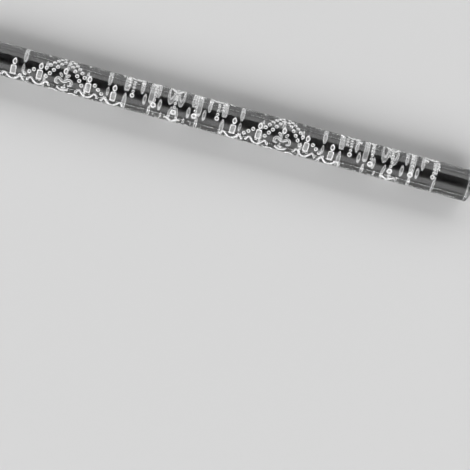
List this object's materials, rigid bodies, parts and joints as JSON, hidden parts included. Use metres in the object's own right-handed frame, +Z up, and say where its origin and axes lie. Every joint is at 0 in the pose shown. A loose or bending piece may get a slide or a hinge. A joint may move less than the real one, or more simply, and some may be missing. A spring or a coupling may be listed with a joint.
{
  "type": "rolling pin",
  "caption": "Solid clear acrylic rolling pin whose engraved barrel prints a candle chandelier ornament into icing, dough or clay.",
  "frame": {"origin": "middle of the rod, on its axis, halfway between its end faces", "axes": "+X along the rod's axis, towards the end where the ornament is cropped; +Z up, off the surface that the rod lies on; +Y level, across the rod"},
  "size_m": [0.32, 0.02, 0.02],
  "materials": {
    "clear_acrylic": "clear cast acrylic, polished barrel and end faces, the floors and walls of the engraving slightly frosted"
  },
  "bodies": {
    "root": {"engraved_rod": "clear_acrylic"}
  },
  "joints": []
}
